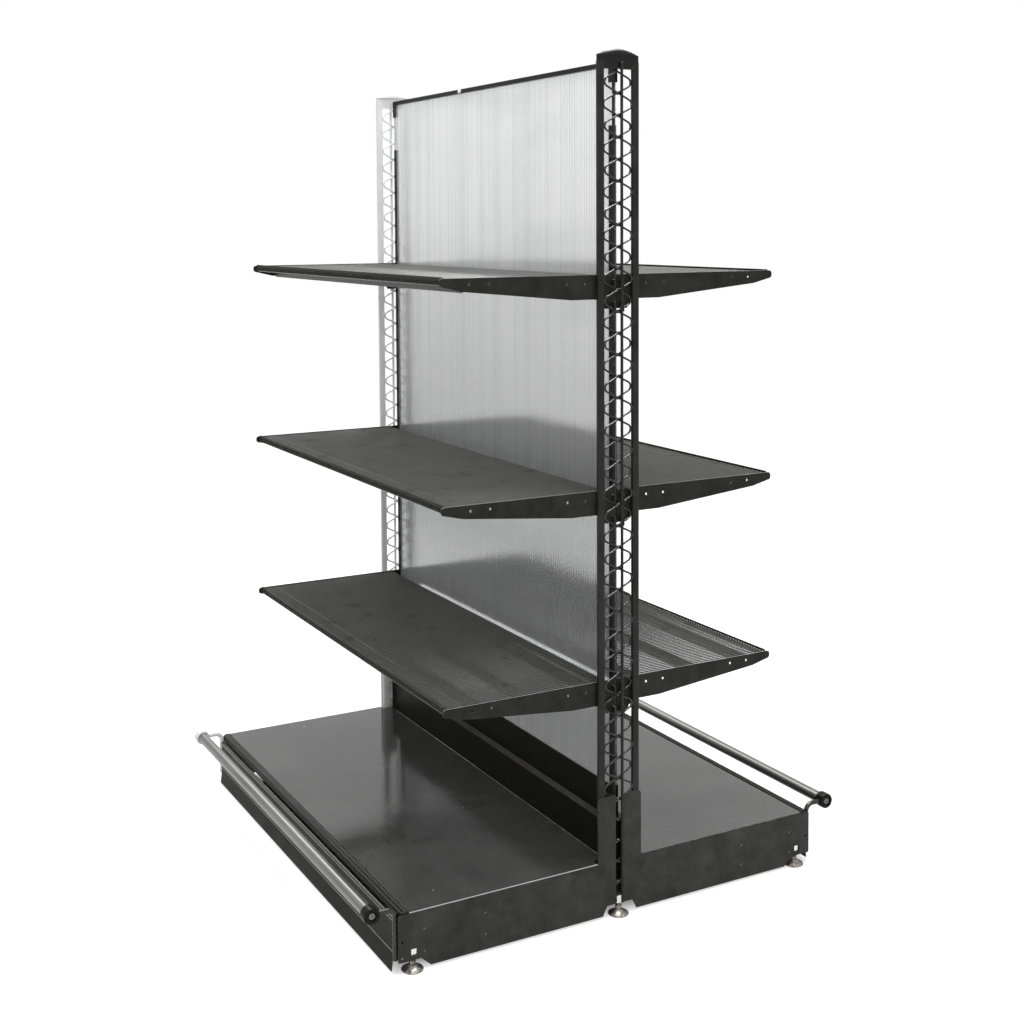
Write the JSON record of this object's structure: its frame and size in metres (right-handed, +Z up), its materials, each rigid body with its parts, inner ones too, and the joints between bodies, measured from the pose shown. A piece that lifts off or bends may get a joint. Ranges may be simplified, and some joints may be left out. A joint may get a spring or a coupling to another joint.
{
  "type": "double-sided gondola shelving bay",
  "caption": "Free-standing double-sided shop shelving bay: wire-lattice uprights, pale back panel, hook-in wire shelves, sheet base decks, bumper rails and screw feet.",
  "frame": {"origin": "On the floor, under the middle of the bay.", "axes": "+X along the bay to the right as seen from the front, +Y to the rear side, +Z up."},
  "size_m": [1.2992, 1.3024, 2.0293],
  "materials": {
    "coat": "satin charcoal powder coat",
    "pale_coat": "satin pale grey powder coat",
    "pale_plastic": "moulded pale grey",
    "deck": "semi-gloss charcoal powder coat, scuffed",
    "plastic": "moulded black",
    "panel": "translucent twin-wall sheet",
    "bumper": "polished",
    "feet": "worn zinc"
  },
  "bodies": {
    "frame": {"upright_post_left": "pale_coat", "upright_lattice_left": "pale_coat", "upright_cap_left": "pale_plastic", "panel_edge_strip_left": "plastic", "upright_post_right": "coat", "upright_lattice_right": "coat", "upright_cap_right": "plastic", "panel_edge_strip_right": "plastic", "back_panel": "panel", "panel_top_rail": "plastic", "base_cross_beam": "coat", "kick_plate_front": "coat", "bumper_tube_front": "bumper", "base_end_plate_front_left": "pale_coat", "bumper_cap_front_left": "pale_plastic", "bumper_arm_front_left": "pale_coat", "base_end_plate_front_right": "coat", "bumper_cap_front_right": "plastic", "bumper_arm_front_right": "bumper", "kick_plate_rear": "coat", "bumper_tube_rear": "bumper", "base_end_plate_rear_left": "pale_coat", "bumper_cap_rear_left": "pale_plastic", "bumper_arm_rear_left": "pale_coat", "base_end_plate_rear_right": "coat", "bumper_cap_rear_right": "plastic", "bumper_arm_rear_right": "bumper"},
    "base_deck_front": {"base_deck_front": "deck"},
    "shelf_front_bottom": {"shelf_front_bottom_deck": "coat", "shelf_front_bottom_bracket_left": "coat", "shelf_front_bottom_bracket_right": "coat"},
    "shelf_front_middle": {"shelf_front_middle_deck": "coat", "shelf_front_middle_bracket_left": "coat", "shelf_front_middle_bracket_right": "coat"},
    "shelf_front_top": {"shelf_front_top_deck": "coat", "shelf_front_top_bracket_left": "coat", "shelf_front_top_bracket_right": "coat"},
    "base_deck_rear": {"base_deck_rear": "deck"},
    "shelf_rear_bottom": {"shelf_rear_bottom_deck": "coat", "shelf_rear_bottom_bracket_left": "coat", "shelf_rear_bottom_bracket_right": "coat"},
    "shelf_rear_middle": {"shelf_rear_middle_deck": "coat", "shelf_rear_middle_bracket_left": "coat", "shelf_rear_middle_bracket_right": "coat"},
    "shelf_rear_top": {"shelf_rear_top_deck": "coat", "shelf_rear_top_bracket_left": "coat", "shelf_rear_top_bracket_right": "coat"},
    "foot_pad_front_left": {"foot_pad_front_left": "feet"},
    "foot_stem_front_left": {"foot_stem_front_left": "feet"},
    "foot_pad_front_right": {"foot_pad_front_right": "feet"},
    "foot_stem_front_right": {"foot_stem_front_right": "feet"},
    "foot_pad_middle_left": {"foot_pad_middle_left": "feet"},
    "foot_stem_middle_left": {"foot_stem_middle_left": "feet"},
    "foot_pad_middle_right": {"foot_pad_middle_right": "feet"},
    "foot_stem_middle_right": {"foot_stem_middle_right": "feet"},
    "foot_pad_rear_left": {"foot_pad_rear_left": "feet"},
    "foot_stem_rear_left": {"foot_stem_rear_left": "feet"},
    "foot_pad_rear_right": {"foot_pad_rear_right": "feet"},
    "foot_stem_rear_right": {"foot_stem_rear_right": "feet"}
  },
  "joints": [
    {"name": "base_deck_front_lift", "type": "slide", "parent": "frame", "child": "base_deck_front", "axis": [0, 0, 1], "range_m": [0, 0.06]},
    {"name": "shelf_front_bottom_lift", "type": "slide", "parent": "frame", "child": "shelf_front_bottom", "axis": [0, 0, 1], "range_m": [0, 0.012]},
    {"name": "shelf_front_middle_lift", "type": "slide", "parent": "frame", "child": "shelf_front_middle", "axis": [0, 0, 1], "range_m": [0, 0.012]},
    {"name": "shelf_front_top_lift", "type": "slide", "parent": "frame", "child": "shelf_front_top", "axis": [0, 0, 1], "range_m": [0, 0.012]},
    {"name": "base_deck_rear_lift", "type": "slide", "parent": "frame", "child": "base_deck_rear", "axis": [0, 0, 1], "range_m": [0, 0.06]},
    {"name": "shelf_rear_bottom_lift", "type": "slide", "parent": "frame", "child": "shelf_rear_bottom", "axis": [0, 0, 1], "range_m": [0, 0.012]},
    {"name": "shelf_rear_middle_lift", "type": "slide", "parent": "frame", "child": "shelf_rear_middle", "axis": [0, 0, 1], "range_m": [0, 0.012]},
    {"name": "shelf_rear_top_lift", "type": "slide", "parent": "frame", "child": "shelf_rear_top", "axis": [0, 0, 1], "range_m": [0, 0.012]},
    {"name": "foot_front_left_height", "type": "slide", "parent": "frame", "child": "foot_pad_front_left", "axis": [0, 0, 1], "range_m": [-0.012, 0.006]},
    {"name": "foot_front_left_screw", "type": "hinge", "parent": "foot_pad_front_left", "child": "foot_stem_front_left", "pos_m": [-0.62, -0.534, 0.03], "axis": [0, 0, 1], "range_deg": [-2885, 1445]},
    {"name": "foot_front_right_height", "type": "slide", "parent": "frame", "child": "foot_pad_front_right", "axis": [0, 0, 1], "range_m": [-0.012, 0.006]},
    {"name": "foot_front_right_screw", "type": "hinge", "parent": "foot_pad_front_right", "child": "foot_stem_front_right", "pos_m": [0.62, -0.534, 0.03], "axis": [0, 0, 1], "range_deg": [-2885, 1445]},
    {"name": "foot_middle_left_height", "type": "slide", "parent": "frame", "child": "foot_pad_middle_left", "axis": [0, 0, 1], "range_m": [-0.012, 0.006]},
    {"name": "foot_middle_left_screw", "type": "hinge", "parent": "foot_pad_middle_left", "child": "foot_stem_middle_left", "pos_m": [-0.625, 0, 0.03], "axis": [0, 0, 1], "range_deg": [-2885, 1445]},
    {"name": "foot_middle_right_height", "type": "slide", "parent": "frame", "child": "foot_pad_middle_right", "axis": [0, 0, 1], "range_m": [-0.012, 0.006]},
    {"name": "foot_middle_right_screw", "type": "hinge", "parent": "foot_pad_middle_right", "child": "foot_stem_middle_right", "pos_m": [0.625, 0, 0.03], "axis": [0, 0, 1], "range_deg": [-2885, 1445]},
    {"name": "foot_rear_left_height", "type": "slide", "parent": "frame", "child": "foot_pad_rear_left", "axis": [0, 0, 1], "range_m": [-0.012, 0.006]},
    {"name": "foot_rear_left_screw", "type": "hinge", "parent": "foot_pad_rear_left", "child": "foot_stem_rear_left", "pos_m": [-0.62, 0.534, 0.03], "axis": [0, 0, 1], "range_deg": [-2885, 1445]},
    {"name": "foot_rear_right_height", "type": "slide", "parent": "frame", "child": "foot_pad_rear_right", "axis": [0, 0, 1], "range_m": [-0.012, 0.006]},
    {"name": "foot_rear_right_screw", "type": "hinge", "parent": "foot_pad_rear_right", "child": "foot_stem_rear_right", "pos_m": [0.62, 0.534, 0.03], "axis": [0, 0, 1], "range_deg": [-2885, 1445]}
  ],
  "couplings": [
    {"joint": "foot_front_left_screw", "follows": "foot_front_left_height", "rad_per_m": 4188.8},
    {"joint": "foot_front_right_screw", "follows": "foot_front_right_height", "rad_per_m": 4188.8},
    {"joint": "foot_middle_left_screw", "follows": "foot_middle_left_height", "rad_per_m": 4188.8},
    {"joint": "foot_middle_right_screw", "follows": "foot_middle_right_height", "rad_per_m": 4188.8},
    {"joint": "foot_rear_left_screw", "follows": "foot_rear_left_height", "rad_per_m": 4188.8},
    {"joint": "foot_rear_right_screw", "follows": "foot_rear_right_height", "rad_per_m": 4188.8}
  ]
}
